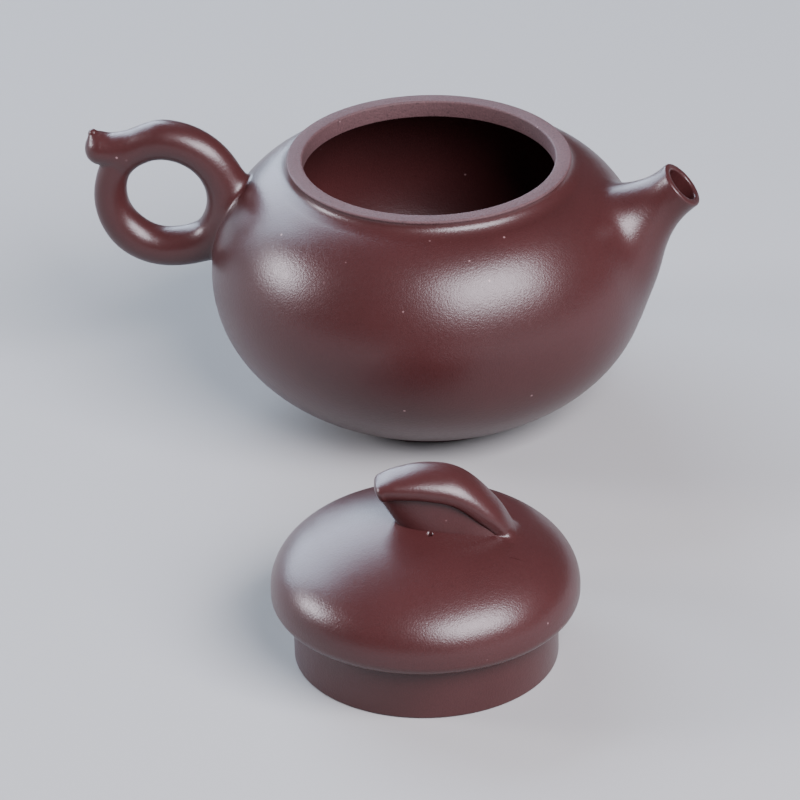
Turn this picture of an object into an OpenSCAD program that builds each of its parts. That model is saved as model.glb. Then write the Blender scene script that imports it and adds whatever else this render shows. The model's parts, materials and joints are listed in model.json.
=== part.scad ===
/* Clay teapot with a ring handle and a leaf-knobbed lid, lid lying in front of it.
   Origin: middle of the foot, on the table. +X points along the spout, +Z up. */

/* [Pot body] */
// Radius of the belly at its widest
belly_r = 52; // [48:1:56]
// Height at which the belly is widest
belly_z = 34; // [30:1:36]
// Height of the mouth ring's top face
pot_h = 63; // [60:1:66]
// Outer radius of the foot
foot_r = 26; // [24:1:30]
// Height of the foot disc under the base disc
foot_h = 1.5; // [1:0.5:2]
// Wall thickness of the pot
wall = 3; // [2.5:0.5:3.5]
// Thickness of the base disc
base_t = 3.5; // [3:0.5:4.5]

/* [Mouth] */
// Bore radius of the mouth
mouth_r = 29.8; // [28:0.1:30]
// Outer radius of the mouth ring
ring_r = 33.6; // [33:0.1:34.5]
// Length of the mouth's bore
bore_h = 4.2; // [3.5:0.1:5]

/* [Spout] */
// Distance of the spout's mouth from the pot's axis
spout_x = 60; // [59:0.5:62]
// Height of the middle of the spout's mouth
spout_z = 58.8; // [58:0.2:60]
// Slope of the spout above level
spout_angle = 43; // [41:1:45]
// Bore radius at the spout's mouth
spout_bore_r = 4.2; // [4:0.1:4.4]

/* [Handle] */
// Distance of the ring's middle from the pot's axis
ring_x = 63.5; // [63:0.5:64.5]
// Height of the ring's middle
ring_z = 49.8; // [49:0.2:51]
// Thickness of the handle's clay roll at its top
roll_d = 9.6; // [9:0.2:10]

/* [Lid] */
// Radial clearance between the lid's flange and the mouth
lid_gap = 0.4; // [0.2:0.05:0.5]
// Length of the flange below the lid's rim
flange_h = 13; // [11:0.5:14]
// Radius of the lid at its widest
lid_r = 34.3; // [34:0.1:35]
// Height of the dome above the lid's rim
dome_h = 20.7; // [19:0.1:22]
// Radius of the air hole
vent_r = 0.8; // [0.6:0.1:1]
// Where the lid lies, measured along the spout
lid_x = 13.5; // [10:0.5:18]
// Where the lid lies, in front of the pot
lid_y = -118; // [-125:1:-112]
// Turn of the leaf knob about the lid's axis
lid_turn = 8; // [-180:1:180]

/* [Hidden] */

clay = "#5a3430";
matte_clay = "#6e4a46";
inner_clay = "#4a2a28";
big = 200;
base_top = foot_h + base_t;

// Cubic curve through p[0] and p[3], pulled towards p[1] and p[2], at t
function curve(p, t) = pow(1 - t, 3) * p[0] + 3 * pow(1 - t, 2) * t * p[1]
    + 3 * (1 - t) * t * t * p[2] + pow(t, 3) * p[3];
// Direction of that curve at t
function slope(p, t) = 3 * pow(1 - t, 2) * (p[1] - p[0]) + 6 * (1 - t) * t * (p[2] - p[1])
    + 3 * t * t * (p[3] - p[2]);
// The curve moved sideways by d, to the left of its direction
function aside(p, t, d) = let (s = slope(p, t)) curve(p, t) + d * [-s[1], s[0]] / norm(s);
// Points of the curve from t0 to t1, moved sideways by d
function run(p, t0, t1, d = 0, n = 12) = [for (i = [0:n]) aside(p, t0 + (t1 - t0) * i / n, d)];
// A point of a smooth line through the stations s, between s[i] and s[i + 1]
function between(s, i, t) = let (
        a = s[max(i - 1, 0)], b = s[i], c = s[i + 1], e = s[min(i + 2, len(s) - 1)])
    0.5 * (2 * b + (c - a) * t + (2 * a - 5 * b + 4 * c - e) * t * t
        + (3 * b - a - 3 * c + e) * t * t * t);
// All points of that line, n to a stretch
function smooth_line(s, n) = concat(
    [for (i = [0:len(s) - 2], k = [0:n - 1]) between(s, i, k / n)], [s[len(s) - 1]]);

// ---- profile of the pot, as radius and height ----
lower_curve = [[foot_r, foot_h], [foot_r + 1, foot_h + 0.7], [belly_r, belly_z - 24], [belly_r, belly_z]];
// Where the shoulder ends and the cove under the mouth ring starts, and the slope there
neck_end = [ring_r + 2.8, pot_h - 3.8];
neck_slope = [8, -2.6];
upper_curve = [[belly_r, belly_z], [belly_r, belly_z + 11], neck_end + neck_slope, neck_end];
// The upper curve is drawn from just above the belly's widest point, which ends the lower one
upper_t = 0.08;
// The belly wall ends, and the shoulder disc starts, at this share of the upper curve
disc_t = 0.74;
// Height of the mouth ring's lower face, and outer radius of its skirt inside the neck
ring_low = pot_h - 0.8;
skirt_r = mouth_r + 1.5;

// Solid of revolution with the outer shape of the pot's body
module pot_solid() {
    rotate_extrude($fn = 96) polygon(concat([[0, foot_h]], run(lower_curve, 0, 1), run(upper_curve, upper_t, disc_t),
        run(upper_curve, disc_t + (1 - disc_t) / 12, 1, 0, 11), [[0, neck_end[1]]]));
}

module level_band(z0, z1) { translate([0, 0, z0]) cylinder(h = z1 - z0, r = big, $fn = 48); }

module foot_disc() {
    color(clay) rotate_extrude($fn = 96)
        polygon([[0, 0], [foot_r - 0.8, 0], [foot_r - 0.2, 0.5], [foot_r, foot_h], [0, foot_h]]);
}

module base_disc() {
    color(clay) intersection() {
        pot_solid();
        level_band(foot_h, base_top);
    }
}

module belly_wall() {
    color(clay) difference() {
        rotate_extrude($fn = 96) polygon(concat(
            run(lower_curve, 0, 1), run(upper_curve, upper_t, disc_t),
            run(upper_curve, disc_t, upper_t, wall), run(lower_curve, 1, 0, wall)));
        level_band(-big, base_top);
        along_spout() cylinder(h = 26, r = opening_r, $fn = 48);
    }
}

module shoulder_disc() {
    color(clay) rotate_extrude($fn = 96)
        polygon(concat(run(upper_curve, disc_t, 1), run(upper_curve, 1, disc_t, wall)));
}

// Cove that leads from the shoulder up to the mouth ring
module neck_band() {
    cove = [neck_end, neck_end - 0.2 * neck_slope, [ring_r - 0.2, ring_low - 1.4], [ring_r - 0.2, ring_low]];
    color(clay) rotate_extrude($fn = 96) polygon(concat([[skirt_r, pot_h - bore_h], aside(upper_curve, 1, wall)],
        run(cove, 0, 1, 0, 8), [[skirt_r, ring_low]]));
}

module mouth_ring() {
    edge = 0.4;
    color(matte_clay) rotate_extrude($fn = 96) polygon([[mouth_r, pot_h - bore_h], [mouth_r, pot_h - edge],
        [mouth_r + edge, pot_h], [ring_r - edge, pot_h], [ring_r, pot_h - edge], [ring_r - 0.2, ring_low],
        [skirt_r, ring_low], [skirt_r, pot_h - bore_h]]);
}

// ---- spout: its own axis runs from its mouth down into the belly ----
// Radius of the round opening in the belly wall behind the spout
opening_r = 8;
// Length of the narrow bore, and where the throat behind it has widened to the opening
spout_bore_h = 5;
throat_h = 17;
// Outer radius of the spout at distances back from its mouth
spout_profile = [[0, 5.6], [0.5, 6], [3, 5.9], [6, 6.2], [9, 7], [12, 8.3], [15, 10], [18, 12], [21, 14], [25, 16]];

module along_spout() {
    translate([spout_x, 0, spout_z]) rotate([0, -90 - spout_angle, 0]) children();
}

module spout() {
    color(clay) difference() {
        along_spout() rotate_extrude($fn = 64)
            polygon(concat([[0, 0]], [for (s = smooth_line(spout_profile, 2)) [s[1], s[0]]], [[0, 25]]));
        pot_solid();
        along_spout() rotate_extrude($fn = 48) polygon([[0, -1], [spout_bore_r, -1], [spout_bore_r, spout_bore_h],
            [opening_r, throat_h], [opening_r, 26], [0, 26]]);
    }
}

// Pierced cup luted into the spout's opening, bulging into the pot
module strainer() {
    shell = 1.3;
    collar = [17.6, 20.4];
    bulge = 4;
    function cap(r, depth) = [for (a = [0:15:90]) [r * cos(a), collar[1] + depth * sin(a)]];
    outer = cap(opening_r, bulge);
    inner = cap(opening_r - shell, bulge - shell);
    color(inner_clay) along_spout() difference() {
        rotate_extrude($fn = 48) polygon(concat([[opening_r - shell, collar[0]], [opening_r, collar[0]]],
            outer, [for (i = [len(inner) - 1:-1:0]) inner[i]]));
        for (ring = [[0, 1], [4, 6]], k = [0:ring[1] - 1])
            rotate([0, 0, 360 * k / ring[1]]) translate([ring[0], 0, collar[0]])
                cylinder(h = 10, r = 1.1, $fn = 24);
    }
}

// ---- handle: one clay roll, swept along stations [x, z, half height, half width] ----
roll_r = roll_d / 2;
// Half axes of the ring's middle line: away from the pot, towards it, up, down
ring_axes = [13, 15.2, 14.7, 13.5];
// Thickness of the roll round the ring, as a share of its thickness at the top
ring_roll = [[142, 0.75], [195, 0.87], [228, 0.98], [270, 0.98], [320, 0.98], [360, 1.02], [405, 1], [450, 1]];

function ring_station(a) = [
    -ring_x + (cos(a) < 0 ? ring_axes[0] : ring_axes[1]) * cos(a),
    ring_z + (sin(a) < 0 ? ring_axes[3] : ring_axes[2]) * sin(a),
    roll_r * lookup(a, ring_roll), roll_r * lookup(a, ring_roll)];
ring_top = ring_station(450);
tail_stations = [ring_top,
    ring_top + [-3.6, -0.9, 0, 0],
    ring_top + [-7.6, -2.3, -0.3, -0.2],
    ring_top + [-11, -3.1, -0.6, -0.5],
    ring_top + [-13.6, -2.4, -0.8, -0.6],
    ring_top + [-15.3, -1.1, -1.3, -1.1],
    ring_top + [-16.4, 0.5, -2.4, -2.2],
    ring_top + [-16.9, 1.7, -3.8, -3.5]];

// Solid swept along points [x, z, half height, half width] in the plane of the handle
module roll(line, sides = 16) {
    last = len(line) - 1;
    function heading(i) = let (d = line[min(i + 1, last)] - line[max(i - 1, 0)]) [d[0], d[1]] / norm([d[0], d[1]]);
    points = [for (i = [0:last], k = [0:sides - 1]) let (h = heading(i), a = 360 * k / sides)
        [line[i][0] - h[1] * line[i][2] * cos(a), line[i][3] * sin(a), line[i][1] + h[0] * line[i][2] * cos(a)]];
    sides_of = [for (i = [0:last - 1], k = [0:sides - 1]) let (n = (k + 1) % sides)
        [i * sides + k, i * sides + n, (i + 1) * sides + n, (i + 1) * sides + k]];
    polyhedron(points = points, convexity = 6, faces = concat([[for (k = [sides - 1:-1:0]) k]], sides_of,
        [[for (k = [0:sides - 1]) last * sides + k]]));
}

module tail_roll() { roll(smooth_line(tail_stations, 3)); }

module handle_ring() {
    color(clay) difference() {
        roll([for (a = [142:7:450]) ring_station(a)]);
        pot_solid();
        tail_roll();
    }
}

module handle_tail() { color(clay) tail_roll(); }

// ---- lid, drawn at the origin with its flange down, then laid in place ----
flange_r = mouth_r - lid_gap;
flange_in = flange_r - 2.8;
rim_top = flange_h + 4;
lid_wall = 2.8;
dome_curve = [[lid_r, rim_top], [lid_r, rim_top + 10.5], [18.5, flange_h + dome_h], [0, flange_h + dome_h]];
vent_place = [1.1, -6.6];

module lid_place() { translate([lid_x, lid_y, 0]) rotate([0, 0, lid_turn]) children(); }

module lid_flange() {
    edge = 0.5;
    color(clay) lid_place() rotate_extrude($fn = 96) polygon([[flange_in, edge], [flange_in + edge, 0],
        [flange_r - edge, 0], [flange_r, edge], [flange_r, flange_h], [flange_in, flange_h]]);
}

module lid_rim() {
    round_r = 3;
    arc = [for (a = [-90:15:0]) [lid_r - round_r + round_r * cos(a), flange_h + round_r + round_r * sin(a)]];
    color(clay) lid_place() rotate_extrude($fn = 96)
        polygon(concat([[flange_in, flange_h]], arc, [[lid_r, rim_top], [flange_in, rim_top]]));
}

module dome_solid() {
    rotate_extrude($fn = 96) polygon(concat([[0, rim_top]], run(dome_curve, 0, 0.96), [dome_curve[3]]));
}

// Air hole through the dome at the foot of the knob
module vent() {
    translate([vent_place[0], vent_place[1], rim_top]) cylinder(h = 30, r = vent_r, $fn = 24);
}

module lid_dome() {
    color(clay) lid_place() difference() {
        dome_solid();
        rotate_extrude($fn = 96) polygon(concat([[0, rim_top - 1], [lid_r - lid_wall, rim_top - 1]],
            run(dome_curve, 0, 0.96, lid_wall), [dome_curve[3] - [0, lid_wall]]));
        vent();
    }
}

// Height of the top of the dome, where the knob stands
knob_z = flange_h + dome_h;

module oval_slice(half_x, half_y) {
    linear_extrude(height = 1) polygon([for (a = [0:15:345]) [half_x * cos(a), half_y * sin(a)]]);
}

// Stem of the knob: a low oval wall that leans out towards the leaf's tip
module stem_solid() {
    hull() {
        translate([4, -0.4, knob_z - 6]) oval_slice(11, 5.6);
        translate([1.5, 0.2, knob_z + 5]) oval_slice(12, 4.6);
    }
}

// Leaf of the knob: stations [x, z, half thickness, half width] from its root to its tip
leaf_stations = [[20.5, -6, 1.6, 4.4], [17.4, -1.8, 2.3, 5.4], [13.6, 2.6, 2.8, 5.9], [8.6, 6.6, 2.9, 6],
    [2.6, 8.7, 2.9, 6], [-3.4, 8.5, 2.9, 5.8], [-8, 6.7, 2.7, 4.8], [-10.6, 4.6, 1.8, 3], [-11.3, 3.6, 0.7, 1.2]];

module leaf_solid() {
    translate([0, 0, knob_z]) roll(smooth_line(leaf_stations, 3));
}

module knob_stem() {
    color(clay) lid_place() difference() {
        stem_solid();
        dome_solid();
        leaf_solid();
        vent();
    }
}

module knob_leaf() {
    color(clay) lid_place() difference() {
        leaf_solid();
        dome_solid();
    }
}

foot_disc();
base_disc();
belly_wall();
shoulder_disc();
neck_band();
mouth_ring();
strainer();
spout();
handle_ring();
handle_tail();
lid_flange();
lid_rim();
lid_dome();
knob_stem();
knob_leaf();
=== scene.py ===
"""Looks of an open clay teapot with its lid lying in front of it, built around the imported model."""

import json
import math

import bpy
import numpy as np
from mathutils import Matrix, Vector


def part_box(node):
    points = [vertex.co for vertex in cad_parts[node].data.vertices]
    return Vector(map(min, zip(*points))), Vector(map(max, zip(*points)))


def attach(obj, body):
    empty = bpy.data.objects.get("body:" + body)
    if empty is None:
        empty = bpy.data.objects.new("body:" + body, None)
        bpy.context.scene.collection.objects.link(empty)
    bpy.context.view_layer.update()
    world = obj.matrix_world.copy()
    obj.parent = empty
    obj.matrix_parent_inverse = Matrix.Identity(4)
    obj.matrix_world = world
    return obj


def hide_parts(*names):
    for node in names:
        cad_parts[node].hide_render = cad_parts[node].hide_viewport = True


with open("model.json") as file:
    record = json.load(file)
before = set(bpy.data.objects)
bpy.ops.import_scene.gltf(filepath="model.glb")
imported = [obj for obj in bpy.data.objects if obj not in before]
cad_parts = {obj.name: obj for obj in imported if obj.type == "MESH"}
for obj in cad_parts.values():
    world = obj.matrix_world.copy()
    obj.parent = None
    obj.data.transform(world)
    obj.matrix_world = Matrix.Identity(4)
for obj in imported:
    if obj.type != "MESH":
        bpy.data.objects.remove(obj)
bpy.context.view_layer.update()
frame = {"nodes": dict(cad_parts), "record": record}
record = frame["record"]
mounts = {mount["name"]: mount for mount in record["mounts"]}

# Everything below is worked out in millimetres, in the model's own frame, and stored in metres.
MM = 0.001


def top_of(node, axis):
    """Highest coordinate of a CAD node along an axis, in millimetres."""
    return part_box(node)[1]["xyz".index(axis)] / MM


# ---- sizes read from the model ----
BELLY_R = top_of("belly_wall", "y")
POT_H = top_of("mouth_ring", "z")
RING_R = top_of("mouth_ring", "y")
MOUTH_R = mounts["mouth"]["dims"]["r_mm"]
FOOT_R = top_of("foot_disc", "y")
FOOT_H = top_of("foot_disc", "z")
BASE_TOP = top_of("base_disc", "z")
FLANGE_R = mounts["lid_flange"]["dims"]["r_mm"]
FLANGE_H = top_of("lid_flange", "z")
FLANGE_INNER_R = FLANGE_R - 2.8
LID_TOP = top_of("lid_dome", "z")
LID_LOW, LID_HIGH = (np.array(corner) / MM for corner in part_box("lid_rim"))
LID_R = (LID_HIGH[1] - LID_LOW[1]) / 2
LID_MIDDLE = np.array([(LID_LOW[0] + LID_HIGH[0]) / 2, (LID_LOW[1] + LID_HIGH[1]) / 2, 0])
SPOUT_AXIS = np.array(mounts["spout_mouth"]["axis"])
SPOUT_UP = np.array([-SPOUT_AXIS[2], 0, SPOUT_AXIS[0]])
SPOUT_BORE_R = mounts["spout_mouth"]["dims"]["r_mm"]
SPOUT_BORE_L = mounts["spout_mouth"]["dims"]["length_mm"]
SPOUT_MOUTH = np.array(mounts["spout_mouth"]["pos_m"]) / MM + SPOUT_AXIS * SPOUT_BORE_L / 2

# ---- sizes of the shapes themselves ----
BELLY_Z = 34
WALL = 3
# Cubic curves of radius and height, each by its two ends and the two points that pull on it.
LOWER = np.array([[FOOT_R, FOOT_H], [FOOT_R + 1, FOOT_H + 0.7],
                  [BELLY_R, BELLY_Z - 24], [BELLY_R, BELLY_Z]])
NECK_END = np.array([RING_R + 2.8, POT_H - 3.8])
NECK_SLOPE = np.array([8, -2.6])
UPPER = np.array([[BELLY_R, BELLY_Z], [BELLY_R, BELLY_Z + 11], NECK_END + NECK_SLOPE, NECK_END])
DISC_T = 0.74
RING_LOW = POT_H - 0.8
BORE_LOW = POT_H - 4.2
RIM_TOP = FLANGE_H + 4
DOME = np.array([[LID_R, RIM_TOP], [LID_R, RIM_TOP + 10.5], [18.5, LID_TOP], [0, LID_TOP]])
LID_WALL = 2.8
LID_TURN = math.radians(8)
VENT_PLACE = (1.1, -6.6)
VENT_R = 0.8

# ---- how pieces are made ----
SHARP_ANGLE = math.radians(40)
SKIN_GAP = 0.01  # a fillet's edge ends this far inside the wall it runs out on
ROOT_DEPTH = 1.2  # a joined-on piece ends this deep in the wall behind it
CHUNK = 40000  # points worked out at a time
SIDES = 192  # sides of a turned piece
FINE_SIDES = 256  # the same for the mouth ring and the lid
POT_CELL = 0.42  # cell of the grid that the spout and handle are made on
LID_CELL = 0.35  # the same for the knob


# ---- curves ----
def curve(p, t):
    """Points at t on the cubic curve through p[0] and p[3], pulled towards p[1] and p[2]."""
    t = np.asarray(t, float)[..., None]
    return (1 - t) ** 3 * p[0] + 3 * (1 - t) ** 2 * t * p[1] + 3 * (1 - t) * t * t * p[2] + t ** 3 * p[3]


def slope(p, t):
    """Direction of that curve at t."""
    t = np.asarray(t, float)[..., None]
    return 3 * ((1 - t) ** 2 * (p[1] - p[0]) + 2 * (1 - t) * t * (p[2] - p[1]) + t * t * (p[3] - p[2]))


def bend(p, t):
    """How fast that direction changes at t."""
    t = np.asarray(t, float)[..., None]
    return 6 * ((1 - t) * (p[2] - 2 * p[1] + p[0]) + t * (p[3] - 2 * p[2] + p[1]))


def run(p, start, end, count, aside=0.0):
    """Points of the curve from start to end, moved to its left by aside."""
    t = np.linspace(start, end, count)
    along = slope(p, t)
    left = np.stack([-along[:, 1], along[:, 0]], 1) / np.linalg.norm(along, axis=1)[:, None]
    return curve(p, t) + aside * left


def arc(middle, radius, start, end, count=7):
    """Points of a round corner, with angles in degrees."""
    a = np.radians(np.linspace(start, end, count))
    return np.stack([middle[0] + radius * np.cos(a), middle[1] + radius * np.sin(a)], 1)


def height_to_t(p, height):
    """The t at which a rising curve reaches a height."""
    t = np.linspace(0, 1, 2001)
    return float(np.interp(height, curve(p, t)[:, 1], t))


# ---- meshes ----
def make_mesh(name, points, faces, normals=None, place=None):
    """An object from points in millimetres, which the function place moves to where they belong."""
    if place is not None:
        points = place(points)
    mesh = bpy.data.meshes.new(name)
    mesh.from_pydata((np.asarray(points) * MM).tolist(), [], [list(map(int, f)) for f in faces])
    mesh.validate()
    mesh.polygons.foreach_set("use_smooth", np.ones(len(mesh.polygons), bool))
    if normals is None:
        mesh.set_sharp_from_angle(angle=SHARP_ANGLE)
    else:
        if place is not None:
            normals = place(normals) - place(np.zeros((1, 3)))
        mesh.normals_split_custom_set_from_vertices(normals.tolist())
    piece = bpy.data.objects.new(name, mesh)
    bpy.context.scene.collection.objects.link(piece)
    return piece


def revolve(name, outline, sides=SIDES, place=None):
    """A solid of revolution about Z from a closed outline of radius and height."""
    outline = np.asarray(outline, float)
    turn = 2 * np.pi * np.arange(sides) / sides
    points, rings = [], []
    for radius, height in outline:
        if radius < 1e-6:
            rings.append([len(points)] * sides)
            points.append([0, 0, height])
        else:
            rings.append(list(range(len(points), len(points) + sides)))
            ring = [radius * np.cos(turn), radius * np.sin(turn), np.full(sides, height)]
            points.extend(np.stack(ring, 1).tolist())
    faces = []
    for low, high in zip(rings, rings[1:] + rings[:1]):
        for k in range(sides):
            n = (k + 1) % sides
            corners = list(dict.fromkeys([low[k], low[n], high[n], high[k]]))
            if len(corners) > 2:
                faces.append(corners)
    return make_mesh(name, np.array(points), faces, place=place)


def surface_net(field, low, high, step):
    """Points and four-sided faces of the surface on which field is 0, inside a box."""
    low, high = np.array(low, float), np.array(high, float)
    counts = np.ceil((high - low) / step).astype(int) + 1
    lines = [low[i] + step * np.arange(counts[i]) for i in range(3)]
    nodes = np.stack(np.meshgrid(*lines, indexing="ij"), -1)
    value = field(nodes.reshape(-1, 3)).reshape(counts)
    total = np.zeros([*(counts - 1), 3])
    hits = np.zeros(counts - 1)
    crossings = []
    for axis in range(3):
        u, v = (axis + 1) % 3, (axis + 2) % 3
        ends = [np.delete(value, -1, axis), np.delete(value, 0, axis)]
        crossed = (ends[0] < 0) != (ends[1] < 0)
        share = np.where(crossed, ends[0] / np.where(crossed, ends[0] - ends[1], 1), 0)
        spot = np.delete(nodes, -1, axis).copy()
        spot[..., axis] += share * step
        spot *= crossed[..., None]
        for du in (0, 1):
            for dv in (0, 1):
                part = [slice(None)] * 3
                part[u] = slice(du, du + counts[u] - 1)
                part[v] = slice(dv, dv + counts[v] - 1)
                total += spot[tuple(part)]
                hits += crossed[tuple(part)]
        crossings.append((axis, u, v, crossed, ends[0] < 0))
    active = hits > 0
    number = np.full(active.shape, -1)
    number[active] = np.arange(active.sum())
    points = total[active] / hits[active][:, None]
    faces = []
    for axis, u, v, crossed, inside in crossings:
        at = np.argwhere(crossed)
        keep = (at[:, u] > 0) & (at[:, v] > 0) & (at[:, u] < counts[u] - 1) & (at[:, v] < counts[v] - 1)
        at = at[keep]
        corners = []
        for du, dv in ((1, 1), (0, 1), (0, 0), (1, 0)):
            cell = at.copy()
            cell[:, u] -= du
            cell[:, v] -= dv
            corners.append(number[tuple(cell.T)])
        quad = np.stack(corners, 1)
        outward = inside[tuple(at.T)]
        quad[~outward] = quad[~outward][:, ::-1]
        faces.append(quad)
    return points, np.concatenate(faces)


def gradient(field, points, reach=0.02):
    """Slope of a field at points, by small steps."""
    shift = np.eye(3) * reach
    return np.stack([(field(points + s) - field(points - s)) / (2 * reach) for s in shift], 1)


def field_piece(name, field, low, high, step, place=None):
    """A smooth closed piece whose surface is where the field is 0."""
    points, faces = surface_net(field, low, high, step)
    for _ in range(4):
        g = gradient(field, points)
        move = field(points)[:, None] * g / np.maximum((g * g).sum(1), 0.05)[:, None]
        far = np.linalg.norm(move, axis=1)[:, None]
        points = points - move * np.minimum(1, 0.4 * step / np.maximum(far, 1e-9))
    g = gradient(field, points)
    normals = g / np.maximum(np.linalg.norm(g, axis=1), 1e-9)[:, None]
    return make_mesh(name, points, faces, normals, place)


# ---- distance fields, in millimetres ----
def join(a, b, soft):
    """Both solids, with a fillet of about that size between them."""
    near = np.maximum(soft - np.abs(a - b), 0) / soft
    return np.minimum(a, b) - near ** 3 * soft / 6


def ease(x, low, high):
    """0 below low, 1 above high, smooth between."""
    share = np.clip((x - low) / (high - low), 0, 1)
    return share * share * (3 - 2 * share)


def common(a, b, soft):
    """What two solids share, with the edge rounded by about that size."""
    return -join(-a, -b, soft)


def joined_on(piece, wall, soft, reach):
    """The piece with a fillet that runs out on a wall within reach, ended a little way inside the wall."""
    whole = join(piece, wall + SKIN_GAP, soft)
    return np.maximum(np.maximum(whole, -(wall + ROOT_DEPTH)), piece - reach)


def curve_distance(p, q):
    """Signed distance of points q from a cubic curve, positive on its right."""
    # The nearest of a few points on the curve, then closer by Newton's method.
    guesses = np.linspace(0, 1, 25)
    spots = curve(p, guesses)
    t = guesses[np.argmin(((q[:, None, :] - spots[None]) ** 2).sum(2), axis=1)]
    for _ in range(5):
        away = curve(p, t) - q
        along = slope(p, t)
        rate = (along * along).sum(1) + (away * bend(p, t)).sum(1)
        t = np.clip(t - (away * along).sum(1) / np.where(np.abs(rate) < 1e-6, 1e-6, rate), 0, 1)
    away = q - curve(p, t)
    along = slope(p, t)
    side = along[:, 1] * away[:, 0] - along[:, 0] * away[:, 1]
    return np.linalg.norm(away, axis=1) * np.where(side > 0, 1, -1)


def pot_distance(points):
    """Distance of points from the pot's outer wall, negative inside."""
    q = np.stack([np.hypot(points[:, 0], points[:, 1]), points[:, 2]], 1)
    out = np.empty(len(q))
    high = q[:, 1] >= BELLY_Z
    for part, p in ((high, UPPER), (~high, LOWER)):
        for start in range(0, int(part.sum()), CHUNK):
            rows = np.flatnonzero(part)[start:start + CHUNK]
            out[rows] = curve_distance(p, q[rows])
    return out


def dome_distance(points):
    """Distance of points from the lid's dome, in the lid's own frame."""
    q = np.stack([np.hypot(points[:, 0], points[:, 1]), points[:, 2]], 1)
    out = np.empty(len(q))
    for start in range(0, len(q), CHUNK):
        out[start:start + CHUNK] = curve_distance(DOME, q[start:start + CHUNK])
    return out


class Spine:
    """A smooth line in the XZ plane through stations of x, z and sizes, for sweeping a section along."""

    def __init__(self, stations, spacing=0.25):
        """Curve through the stations, resampled evenly and smoothed a little."""
        s = np.array(stations, float)
        dense = [s[0]]
        for i in range(len(s) - 1):
            a, b, c, e = s[max(i - 1, 0)], s[i], s[i + 1], s[min(i + 2, len(s) - 1)]
            for t in np.linspace(0, 1, 25)[1:]:
                dense.append(0.5 * (2 * b + (c - a) * t + (2 * a - 5 * b + 4 * c - e) * t * t
                                    + (3 * b - a - 3 * c + e) * t ** 3))
        dense = np.array(dense)
        length = np.concatenate([[0], np.cumsum(np.linalg.norm(np.diff(dense[:, :2], axis=0), axis=1))])
        self.at = np.linspace(0, length[-1], int(length[-1] / spacing) + 2)
        rows = np.stack([np.interp(self.at, length, dense[:, k]) for k in range(dense.shape[1])], 1)
        for _ in range(12):
            rows[1:-1] = (rows[:-2] + 2 * rows[1:-1] + rows[2:]) / 4
        self.spots, self.sizes = rows[:, :2], rows[:, 2:]
        heading = np.gradient(self.spots, self.at, axis=0)
        self.heading = heading / np.linalg.norm(heading, axis=1)[:, None]
        self.turning = np.gradient(self.heading, self.at, axis=0)

    def locate(self, points):
        """Each point's offset to the line's left, distance beyond its ends, and the line's sizes there."""
        q = points[:, [0, 2]]
        place, left, past = np.empty(len(q)), np.empty(len(q)), np.empty(len(q))
        last = len(self.spots) - 1
        for start in range(0, len(q), CHUNK):
            part = slice(start, start + CHUNK)
            near = np.argmin(((q[part, None, :] - self.spots[None]) ** 2).sum(2), axis=1)
            away = q[part] - self.spots[near]
            ahead, turn = self.heading[near], self.turning[near]
            beyond = np.where(near == last, 1, 0) - np.where(near == 0, 1, 0)
            forward = (away * ahead).sum(1)
            step = np.clip(forward / np.maximum(1 - (away * turn).sum(1), 0.2), -0.6, 0.6)
            step = np.where(beyond * forward > 0, 0, step)
            spot = self.spots[near] + ahead * step[:, None] + 0.5 * turn * (step ** 2)[:, None]
            local = ahead + turn * step[:, None]
            rest = q[part] - spot
            place[part] = self.at[near] + step
            past[part] = np.maximum(beyond * forward, 0)
            left[part] = local[:, 0] * rest[:, 1] - local[:, 1] * rest[:, 0]
        sizes = [np.interp(place, self.at, self.sizes[:, k]) for k in range(self.sizes.shape[1])]
        return left, past, sizes


# ---- handle: one roll of clay, looped into a ring, its end left as a curled tail ----
HANDLE_X = -(BELLY_R + 11.5)
HANDLE_Z = 49.8
ROLL_R = 4.8
# From the ring's middle to the roll's middle line: away from the pot, towards it, up and down.
HALF_OUT, HALF_IN, HALF_UP, HALF_DOWN = 13, 15.2, 14.7, 13.5
# Share of ROLL_R that the roll has at each angle around the ring, from below the tail and round to the top.
RING_ROLL = [(142, 0.78), (165, 0.78), (195, 0.87), (228, 0.98), (270, 0.98),
             (300, 1.0), (330, 1.06), (360, 1.04), (405, 1), (450, 1)]


def ring_station(a):
    """A point of the ring's middle line at an angle in degrees, with the roll's radius there."""
    c, s = math.cos(math.radians(a)), math.sin(math.radians(a))
    radius = ROLL_R * float(np.interp(a, *zip(*RING_ROLL)))
    sag = 0.7 * math.exp(-((a - 316) / 24) ** 2)  # a slight bulge low down, next to the pot
    across, rise = HALF_OUT if c < 0 else HALF_IN, HALF_DOWN if s < 0 else HALF_UP
    return [HANDLE_X + (across + sag) * c, HANDLE_Z + (rise + sag) * s, radius]


TOP_X, TOP_Z, _ = ring_station(450)
# The tail's stations: offsets in X and Z from the top of the ring, and the roll's radius.
TAIL = [(-1.8, -0.35, 4.7), (-3.8, -0.95, 4.5), (-6.6, -2.2, 4.4),
        (-9.5, -2.95, 4.3), (-12.1, -3.3, 4.2), (-14.7, -2.9, 3.9)]
start_spine = Spine([ring_station(a) for a in range(142, 263, 10)])
long_spine = Spine([ring_station(a) for a in range(220, 451, 10)]
                   + [[TOP_X + x, TOP_Z + z, radius] for x, z, radius in TAIL])
HEAD = np.array([TOP_X + TAIL[-1][0], 0, TOP_Z + TAIL[-1][1]])
HORN = np.array([TOP_X - 16.7, 0, TOP_Z + 1.0])
HEAD_R = 3.3
HORN_R = 1.0


def tube_distance(spine, points):
    """Distance of points from the round roll swept along a spine."""
    left, past, (radius,) = spine.locate(points)
    return np.sqrt(left ** 2 + past ** 2 + points[:, 1] ** 2) - radius


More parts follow.
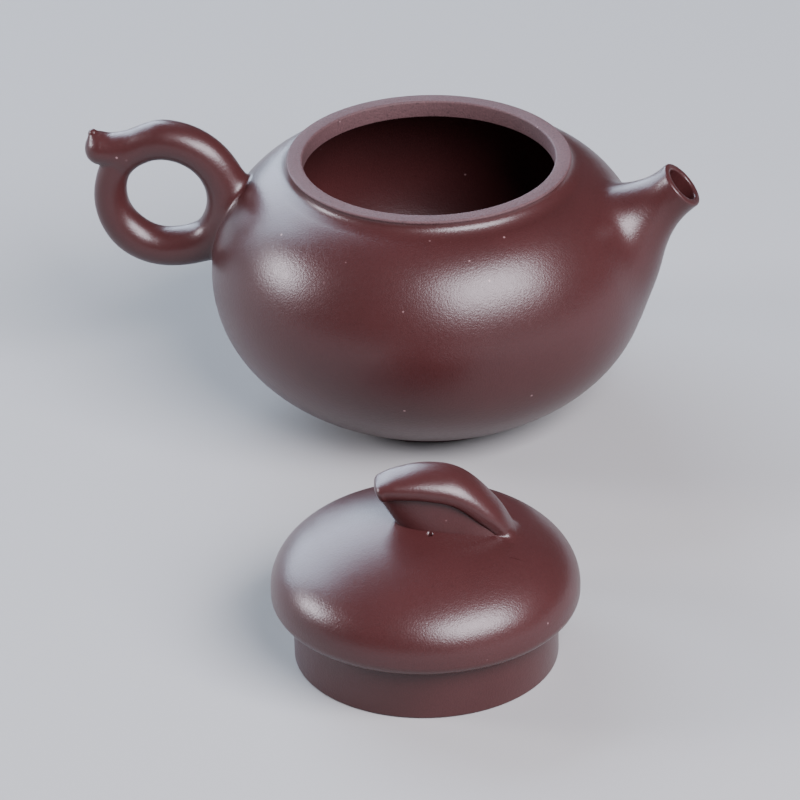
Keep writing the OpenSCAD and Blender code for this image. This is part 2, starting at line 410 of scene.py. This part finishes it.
def horn_distance(points):
    """Distance of points from the cone that draws the tail's end up to a blunt point."""
    line = HORN - HEAD
    share = np.clip(((points - HEAD) @ line) / (line @ line), 0, 1)
    across = np.linalg.norm(points - HEAD - share[:, None] * line, axis=1)
    return (across - (HEAD_R - (HEAD_R - HORN_R) * share)) * 0.8


def handle_field(points):
    """Ring and tail as one roll, which widens and fillets where it meets the pot."""
    x, _, z = points.T
    pot = pot_distance(points)
    # How much wider the roll is close to the pot, most of all on its upper side.
    flare = 1.6 * np.exp(-np.maximum(pot, 0) / 1.3) * (0.3 + 0.7 * ease(z, 44, 50))
    tail = join(tube_distance(long_spine, points), horn_distance(points), 2.0)
    # The fillet between the ring and its start: next to none low down, larger higher up and towards the pot.
    crotch = 0.02 + ease(z, 46, 52) * (0.9 + 3.0 * ease(x, -76, -71))
    roll = join(tail, tube_distance(start_spine, points), crotch) - flare
    return joined_on(roll, pot, 1.0, 1.5)


# ---- spout ----
def spout_coordinates(points):
    """Distance back from the spout's mouth, distance from its axis, and 1 above the axis to -1 below it."""
    away = points - SPOUT_MOUTH
    back = -(away @ SPOUT_AXIS)
    across = np.linalg.norm(away + back[:, None] * SPOUT_AXIS, axis=1)
    upper = (away @ SPOUT_UP) / np.maximum(across, 0.5)
    return back, across, upper


# Stations of distance back from the mouth and the spout's radius there.
SPOUT_PROFILE = [(-5, 5.97), (0, 5.97), (3, 5.95), (6, 6.2), (9, 7), (12, 8.3), (15, 10),
                 (18, 12), (21, 13.6), (25, 14.9), (30, 15.4), (60, 15.4)]


def softened(stations, spacing=0.25, rounds=60):
    """A smooth line through stations, as two lists of places and values."""
    at = np.arange(stations[0][0], stations[-1][0], spacing)
    value = np.interp(at, *zip(*stations))
    for _ in range(rounds):
        value[1:-1] = (value[:-2] + 2 * value[1:-1] + value[2:]) / 4
    return at, value


spout_at, spout_radius = softened(SPOUT_PROFILE)
spout_slope = np.gradient(spout_radius, spout_at)


def spout_field(points):
    """Tapered spout, fuller above, with a rounded mouth, a widening bore and a large fillet on the pot."""
    back, across, upper = spout_coordinates(points)
    # A faint lip at the mouth, and a fuller upper side behind it.
    radius = np.interp(back, spout_at, spout_radius) + 0.12 * np.exp(-np.maximum(back, -1) / 0.8)
    radius += 0.5 * np.maximum(upper, 0) ** 2 * np.exp(-((back - 11) / 4.5) ** 2)
    body = (across - radius) / np.hypot(1, np.interp(back, spout_at, spout_slope))
    body = common(body, -back, 1.1)
    pot = pot_distance(points)
    # The fillet gets smaller towards the neck, so that it ends below the mouth ring's cove.
    soft = 3 + 3.5 * ease(np.hypot(points[:, 0], points[:, 1]), 38, 46)
    whole = joined_on(body, pot, soft, soft + 0.5)
    bore = SPOUT_BORE_R + 0.25 * np.maximum(back - SPOUT_BORE_L, 0)
    return common(whole, bore - across, 0.9)


# ---- lid's knob: a leaf that rises from the dome and arches over a recessed wall ----
# Stations from the foot to the raised end: X, height over the dome's top, half the thickness,
# half the width, and how far the front rim droops.
LEAF_LINE = [
    (20.8, -8.4, 1.5, 2.8, 0.0), (19.3, -5.4, 1.8, 3.7, 0.1), (17.4, -2.2, 2.2, 4.5, 0.2),
    (15.2, 1.0, 2.6, 5.1, 0.4), (13.5, 3.0, 2.7, 5.5, 0.6), (11.5, 5.2, 2.8, 5.6, 0.9),
    (9.5, 7.2, 2.8, 5.7, 1.3), (7.4, 8.8, 2.8, 5.7, 1.7), (4.8, 9.9, 2.8, 5.7, 1.9),
    (1.5, 10.3, 2.8, 5.7, 1.7), (-1.5, 10.2, 2.8, 5.6, 1.2), (-4.0, 9.8, 2.7, 5.5, 0.7),
    (-6.8, 9.2, 2.6, 5.2, 0.1), (-8.6, 8.5, 2.5, 4.8, -0.2)]
leaf_spine = Spine([[x, LID_TOP + rise, *sizes] for x, rise, *sizes in LEAF_LINE])
LEAF_MIDDLE = -0.75  # Y of the leaf's ridge
LEAF_END = 2.1  # how far its rounded end reaches past the last station
LEAF_POWER = 2.7  # 2 would make its section an ellipse, more makes it boxier


def leaf_distance(points):
    """Plump lobe along the leaf's line, highest towards the back and dropping to its front rim."""
    left, past, (thick, wide, drop) = leaf_spine.locate(points)
    share = np.clip((points[:, 1] - LEAF_MIDDLE) / wide, -1.5, 1.5)
    front = drop * (np.minimum(share - 0.3, 0) / 1.3) ** 2
    back = 0.9 * (np.maximum(share - 0.3, 0) / 0.7) ** 2
    lift = np.abs(-left + front + back) / thick
    parts = np.abs(share) ** LEAF_POWER + lift ** LEAF_POWER + (past / LEAF_END) ** LEAF_POWER
    return (parts ** (1 / LEAF_POWER) - 1) * thick


def leaf_field(points):
    """The leaf, melting into the dome behind its foot."""
    soft = 0.4 + 2.1 * ease(points[:, 0], 15, 20)
    return joined_on(leaf_distance(points), dome_distance(points), soft, soft + 0.4)


def leaf_top(points):
    """Height of points above the leaf's middle line, which ends the stem inside the leaf."""
    left, _, _ = leaf_spine.locate(points)
    return -left + 0.3


def stem_distance(points):
    """Low wall under the leaf, wider at its foot than under the leaf."""
    x, y, z = points.T
    # 0 at the height of the dome's top, 1 under the leaf.
    rise = np.clip((z - LID_TOP) / 8, -0.5, 1.2)
    half_x = 12 + 1.2 * rise
    middle = 5.4 - 3.6 * rise
    half_y = 4.6 + 1.6 * np.clip(1 - rise, 0, 1.5) ** 1.3
    power = np.where(x > middle, 3.0, 2.0)
    round_box = (np.abs((x - middle) / half_x) ** power + np.abs(y / half_y) ** power) ** (1 / power)
    return (round_box - 1) * half_y * 0.9


def stem_field(points):
    """The low wall, between a little below the dome's surface and the leaf."""
    stem = common(stem_distance(points), points[:, 2] - (LID_TOP + 9.2), 0.5)
    stem = np.maximum(stem, leaf_top(points))
    return np.maximum(stem, -(dome_distance(points) + ROOT_DEPTH))


def on_lid(points):
    """From the lid's own frame to where the lid lies."""
    c, s = math.cos(LID_TURN), math.sin(LID_TURN)
    x, y, z = np.asarray(points, float).T
    return np.stack([c * x - s * y, s * x + c * y, z], 1) + LID_MIDDLE


# ---- pieces of the pot ----
def foot_disc():
    outline = [[[0, 0]],
               arc((FOOT_R - 1.1, 0.6), 0.6, 270, 345),
               [[FOOT_R - 0.1, FOOT_H], [0, FOOT_H]]]
    return revolve("foot_disc_clay", np.concatenate(outline))


def base_disc():
    """Bottom of the belly. Its upper side rises at the edge, just inside the belly wall's inner side."""
    edge = height_to_t(LOWER, BASE_TOP)
    rise = run(LOWER, height_to_t(LOWER, BASE_TOP + 4), edge, 8, WALL - 0.02)
    start = rise[0]
    sweep = np.array([start, start + (rise[1] - start) * 9, [18, BASE_TOP], [14, BASE_TOP]])
    outline = [[[0, FOOT_H]],
               run(LOWER, 0, edge, 14),
               [start + [0.6, 0.4]],
               curve(sweep, np.linspace(0, 1, 24)),
               [[0, BASE_TOP]]]
    return revolve("base_disc_clay", np.concatenate(outline))


def belly_wall():
    edge = height_to_t(LOWER, BASE_TOP)
    outline = [run(LOWER, edge, 1, 50), run(UPPER, 0.02, DISC_T, 50),
               run(UPPER, DISC_T, 0.02, 50, WALL), run(LOWER, 1, edge, 50, WALL)]
    return revolve("belly_wall_clay", np.concatenate(outline))


def shoulder_disc():
    outline = [run(UPPER, DISC_T, 1, 40), run(UPPER, 1, DISC_T, 40, WALL)]
    return revolve("shoulder_disc_clay", np.concatenate(outline))


def neck_band():
    """Cove from the shoulder up to the mouth ring outside, and a matching slope inside."""
    top = [RING_R - 0.2, RING_LOW]
    cove = np.array([NECK_END, NECK_END - 0.2 * NECK_SLOPE, [top[0], RING_LOW - 1.4], top])
    under = run(UPPER, 1, 1, 1, WALL)[0]
    skirt_r = MOUTH_R + 1.3
    hollow = np.array([under, under - [1.5, -0.6], [MOUTH_R + 3, BORE_LOW - 1], [skirt_r, BORE_LOW + 0.1]])
    outline = [curve(cove, np.linspace(0, 1, 24)),
               [[skirt_r, RING_LOW]],
               curve(hollow, np.linspace(1, 0, 14))]
    return revolve("neck_band_clay", np.concatenate(outline))


def mouth_ring():
    """Flat ring, with the skirt below it that makes the bore for the lid."""
    skirt_r = MOUTH_R + 1.5
    outline = [arc((MOUTH_R + 0.3, BORE_LOW + 0.3), 0.3, 270, 180),
               arc((MOUTH_R + 0.5, POT_H - 0.5), 0.5, 180, 90, 6),
               arc((RING_R - 0.4, POT_H - 0.4), 0.4, 90, 0, 7),
               [[RING_R - 0.05, RING_LOW + 0.2], [RING_R - 0.2, RING_LOW]],
               [[skirt_r, RING_LOW], [skirt_r, BORE_LOW]]]
    return revolve("mouth_ring_clay", np.concatenate(outline), FINE_SIDES)


def spout():
    start = (SPOUT_MOUTH - SPOUT_AXIS * 30)[0] - 2
    low, high = (start, -20, 25), (SPOUT_MOUTH[0] + 6, 20, POT_H + 3)
    return field_piece("spout_clay", spout_field, low, high, POT_CELL)


def handle():
    ring_low, ring_high = (np.array(corner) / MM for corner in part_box("handle_ring"))
    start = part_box("handle_tail")[0].x / MM - 2
    low, high = (start, -8.4, ring_low[2] - 4), (ring_high[0] + 6, 8.4, ring_high[2] + 2)
    return field_piece("handle_clay", handle_field, low, high, POT_CELL)


# ---- pieces of the lid ----
def lid_flange():
    outline = [[[FLANGE_INNER_R, FLANGE_H + 0.2]],
               arc((FLANGE_INNER_R + 0.6, 0.6), 0.6, 180, 270),
               arc((FLANGE_R - 0.5, 0.5), 0.5, 270, 360),
               [[FLANGE_R, FLANGE_H + 0.2]]]
    return revolve("lid_flange_clay", np.concatenate(outline), FINE_SIDES, on_lid)


def lid_rim():
    soft = 3
    outline = [[[FLANGE_INNER_R, FLANGE_H]],
               arc((LID_R - soft, FLANGE_H + soft), soft, -90, 0, 20),
               [[LID_R, RIM_TOP], [FLANGE_INNER_R, RIM_TOP]]]
    return revolve("lid_rim_clay", np.concatenate(outline), FINE_SIDES, on_lid)


def pierced(piece, spot, radius, sides=24, reach=12):
    """The lid piece with an upright round hole through it at a spot in the lid's own frame."""
    turn = 2 * np.pi * np.arange(sides) / sides
    x, y = spot[0] + radius * np.cos(turn), spot[1] + radius * np.sin(turn)
    ends = [np.stack([x, y, np.full(sides, z)], 1) for z in (LID_TOP - reach, LID_TOP + reach)]
    faces = [[k, (k + 1) % sides, sides + (k + 1) % sides, sides + k] for k in range(sides)]
    faces += [list(range(sides - 1, -1, -1)), list(range(sides, 2 * sides))]
    cutter = make_mesh("vent_cutter", np.concatenate(ends), faces, place=on_lid)
    cut = piece.modifiers.new("vent", "BOOLEAN")
    cut.operation = "DIFFERENCE"
    cut.solver = "EXACT"
    cut.object = cutter
    whole = piece.evaluated_get(bpy.context.evaluated_depsgraph_get())
    mesh = bpy.data.meshes.new_from_object(whole)
    piece.modifiers.clear()
    piece.data = mesh
    bpy.data.objects.remove(cutter)
    return piece


def lid_dome():
    """Dome with a hollow of its own curve and the air hole."""
    inner = np.array([[LID_R - LID_WALL, RIM_TOP - 1], [LID_R - LID_WALL, RIM_TOP + 8],
                      [16, LID_TOP - LID_WALL], [0, LID_TOP - LID_WALL]])
    outline = [curve(DOME, np.linspace(0, 1, 90)), curve(inner, np.linspace(1, 0, 60))]
    dome = revolve("lid_dome_clay", np.concatenate(outline), FINE_SIDES, on_lid)
    return pierced(dome, VENT_PLACE, VENT_R)


def knob_stem():
    low, high = (-13, -10, LID_TOP - 8), (25, 10, LID_TOP + 10)
    return field_piece("knob_stem_clay", stem_field, low, high, LID_CELL, on_lid)


def knob_leaf():
    low, high = (-14, -12, LID_TOP - 12), (29, 12, LID_TOP + 15)
    return field_piece("knob_leaf_clay", leaf_field, low, high, LID_CELL, on_lid)


# ---- clay ----
def clay(name, colour, roughness, grain=1.0, grit=0.3, rare=0.965, rings=0.0):
    """Fired clay: mottled body, fine grain that breaks up the light, sparse pale specks.

    grain scales the depth of the bumps, grit the strength of the light and dark grains, rare is the
    share of cells without a pale speck, and rings is the depth of turning marks in millimetres.
    """
    material = bpy.data.materials.new(name)
    material.use_nodes = True
    nodes, links = material.node_tree.nodes, material.node_tree.links
    shader = nodes["Principled BSDF"]
    place = nodes.new("ShaderNodeTexCoord").outputs["Object"]

    def noise(scale, detail):
        node = nodes.new("ShaderNodeTexNoise")
        node.inputs["Scale"].default_value = scale
        node.inputs["Detail"].default_value = detail
        links.new(place, node.inputs["Vector"])
        return node.outputs["Fac"]

    def ramp(source, stops):
        node = nodes.new("ShaderNodeValToRGB")
        for element, (at, value) in zip(node.color_ramp.elements, stops):
            element.position = at
            element.color = (*value, 1) if isinstance(value, tuple) else (value, value, value, 1)
        links.new(source, node.inputs["Fac"])
        return node.outputs["Color"]

    def mix(a, b, factor, kind="MIX"):
        node = nodes.new("ShaderNodeMix")
        node.data_type = "RGBA"
        node.blend_type = kind
        for value, key in ((factor, 0), (a, 6), (b, 7)):
            if isinstance(value, bpy.types.NodeSocket):
                links.new(value, node.inputs[key])
            elif isinstance(value, tuple):
                node.inputs[key].default_value = (*value, 1)
            else:
                node.inputs[key].default_value = value
        return node.outputs[2]

    def bump(height, depth, below=None):
        node = nodes.new("ShaderNodeBump")
        node.inputs["Strength"].default_value = 1.0
        node.inputs["Distance"].default_value = depth * MM
        links.new(height, node.inputs["Height"])
        if below is not None:
            links.new(below, node.inputs["Normal"])
        return node.outputs["Normal"]

    def shade(factor):
        return tuple(channel * factor for channel in colour)

    # Soft mottling, then paler grains, darker grains and the sparse pale specks.
    body = ramp(noise(40, 3), [(0.36, shade(0.93)), (0.64, shade(1.07))])
    body = mix(body, shade(1.35), ramp(noise(2600, 1), [(0.5, 0.0), (0.75, grit)]))
    body = mix(body, shade(0.6), ramp(noise(1900, 1), [(0.55, 0.0), (0.75, grit)]))
    dots = nodes.new("ShaderNodeTexVoronoi")
    dots.inputs["Scale"].default_value = 420
    links.new(place, dots.inputs["Vector"])
    chance = nodes.new("ShaderNodeSeparateColor")
    links.new(dots.outputs["Color"], chance.inputs["Color"])
    chosen = ramp(chance.outputs["Red"], [(rare, 0.0), (rare + 0.01, 1.0)])
    spot = ramp(dots.outputs["Distance"], [(0.08, 1.0), (0.15, 0.0)])
    pale = tuple(channel * 3 + 0.1 for channel in colour)
    body = mix(body, pale, mix(chosen, spot, 1.0, "MULTIPLY"))
    links.new(body, shader.inputs["Base Color"])
    rough = nodes.new("ShaderNodeMapRange")
    rough.inputs["To Min"].default_value = roughness - 0.04
    rough.inputs["To Max"].default_value = roughness + 0.05
    links.new(noise(900, 2), rough.inputs["Value"])
    links.new(rough.outputs["Result"], shader.inputs["Roughness"])
    # Fine grain, coarser grain and the slight unevenness left by hand, each on top of the one before.
    normal = bump(noise(2300, 2), 0.042 * grain)
    normal = bump(noise(900, 1), 0.016 * grain, normal)
    normal = bump(noise(70, 1), 0.02, normal)
    if rings:
        wave = nodes.new("ShaderNodeTexWave")
        wave.wave_type = "BANDS"
        wave.bands_direction = "Z"
        wave.inputs["Scale"].default_value = 130
        wave.inputs["Distortion"].default_value = 1.5
        links.new(place, wave.inputs["Vector"])
        normal = bump(wave.outputs["Fac"], rings, normal)
    links.new(normal, shader.inputs["Normal"])
    return material


burnished = clay("clay_burnished", (0.0435, 0.0122, 0.0122), 0.32)
matte = clay("clay_matte", (0.074, 0.035, 0.037), 0.7, grain=2.2, grit=0.95, rare=0.93)
inside = clay("clay_inside", (0.043, 0.022, 0.024), 0.42, grain=1.2, rare=0.98, rings=0.03)


def finish_piece(piece, body, material, slot, *nodes):
    """Give a piece its clay, hang it under its body's empty and hide the CAD nodes it stands for."""
    piece.data.materials.append(material)
    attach(piece, body)
    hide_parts(*nodes)


finish_piece(foot_disc(), "pot", burnished, "clay_burnished", "foot_disc")
finish_piece(base_disc(), "pot", inside, "clay_inside", "base_disc")
finish_piece(belly_wall(), "pot", burnished, "clay_burnished", "belly_wall")
finish_piece(shoulder_disc(), "pot", burnished, "clay_burnished", "shoulder_disc")
finish_piece(neck_band(), "pot", burnished, "clay_burnished", "neck_band")
finish_piece(mouth_ring(), "pot", matte, "clay_matte", "mouth_ring")
finish_piece(spout(), "pot", burnished, "clay_burnished", "spout")
finish_piece(handle(), "pot", burnished, "clay_burnished", "handle_ring", "handle_tail")
finish_piece(lid_flange(), "lid", burnished, "clay_burnished", "lid_flange")
finish_piece(lid_rim(), "lid", burnished, "clay_burnished", "lid_rim")
finish_piece(lid_dome(), "lid", burnished, "clay_burnished", "lid_dome")
finish_piece(knob_stem(), "lid", burnished, "clay_burnished", "knob_stem")
finish_piece(knob_leaf(), "lid", burnished, "clay_burnished", "knob_leaf")
# The strainer keeps its CAD shape and only gets the clay.
strainer = frame["nodes"]["strainer"]
strainer.data.materials.clear()
strainer.data.materials.append(inside)

# ---- floor, light and camera ----
TARGET = Vector((-7.89, 0, -2.19)) * MM
CAMERA_TURN, CAMERA_RISE, CAMERA_ROLL = (math.radians(a) for a in (8, 28.91, -1.12))
CAMERA_AWAY = 1.4
SENSOR = 36
LENS = 261.79
FLOOR_HALF = 4


def add_camera():
    """A long lens that looks down at the pot, from a little to the spout's side."""
    turn = Matrix.Rotation(CAMERA_TURN, 3, "Z")
    ahead = Vector((0, math.cos(CAMERA_RISE), -math.sin(CAMERA_RISE)))
    right = Vector((1, 0, 0))
    up = right.cross(ahead)
    c, s = math.cos(CAMERA_ROLL), math.sin(CAMERA_ROLL)
    axes = Matrix((turn @ (right * c + up * s), turn @ (up * c - right * s), turn @ -ahead)).transposed()
    data = bpy.data.cameras.new("photo_camera")
    data.lens = LENS
    data.sensor_width = SENSOR
    data.clip_start = 0.05
    data.clip_end = 20
    camera = bpy.data.objects.new("photo_camera", data)
    camera.matrix_world = Matrix.Translation(turn @ (TARGET - ahead * CAMERA_AWAY)) @ axes.to_4x4()
    bpy.context.scene.collection.objects.link(camera)
    bpy.context.scene.camera = camera


def add_light(name, place, aim, size, power, colour):
    """A soft box at a place, turned towards aim, both in metres."""
    data = bpy.data.lights.new(name, "AREA")
    data.shape = "RECTANGLE"
    data.size, data.size_y = size
    data.energy = power
    data.color = colour
    light = bpy.data.objects.new(name, data)
    light.location = place
    light.rotation_euler = (Vector(aim) - Vector(place)).to_track_quat("-Z", "Y").to_euler()
    bpy.context.scene.collection.objects.link(light)


def add_floor():
    mesh = bpy.data.meshes.new("floor")
    corners = [(x * FLOOR_HALF, y * FLOOR_HALF, 0) for x, y in ((-1, -1), (1, -1), (1, 1), (-1, 1))]
    mesh.from_pydata(corners, [], [(0, 1, 2, 3)])
    floor = bpy.data.objects.new("floor", mesh)
    material = bpy.data.materials.new("floor")
    material.use_nodes = True
    shader = material.node_tree.nodes["Principled BSDF"]
    shader.inputs["Base Color"].default_value = (0.34, 0.347, 0.342, 1)
    shader.inputs["Roughness"].default_value = 0.9
    mesh.materials.append(material)
    bpy.context.scene.collection.objects.link(floor)


add_camera()
add_floor()
add_light("window", (-0.95, 1.06, 0.8), (0, 0, 0.03), (1.6, 1.2), 62, (0.68, 0.8, 1.0))
add_light("front_box", (0.65, -0.65, 0.8), (0, -0.03, 0.03), (0.95, 0.6), 42, (0.97, 0.91, 1.0))
add_light("side_box", (-1.12, -0.16, 0.45), (0, -0.03, 0.03), (0.35, 0.3), 12.5, (0.97, 0.91, 1.0))
world = bpy.data.worlds.new("studio")
world.use_nodes = True
background = world.node_tree.nodes["Background"]
background.inputs["Color"].default_value = (0.75, 0.8, 0.85, 1)
background.inputs["Strength"].default_value = 0.12
bpy.context.scene.world = world
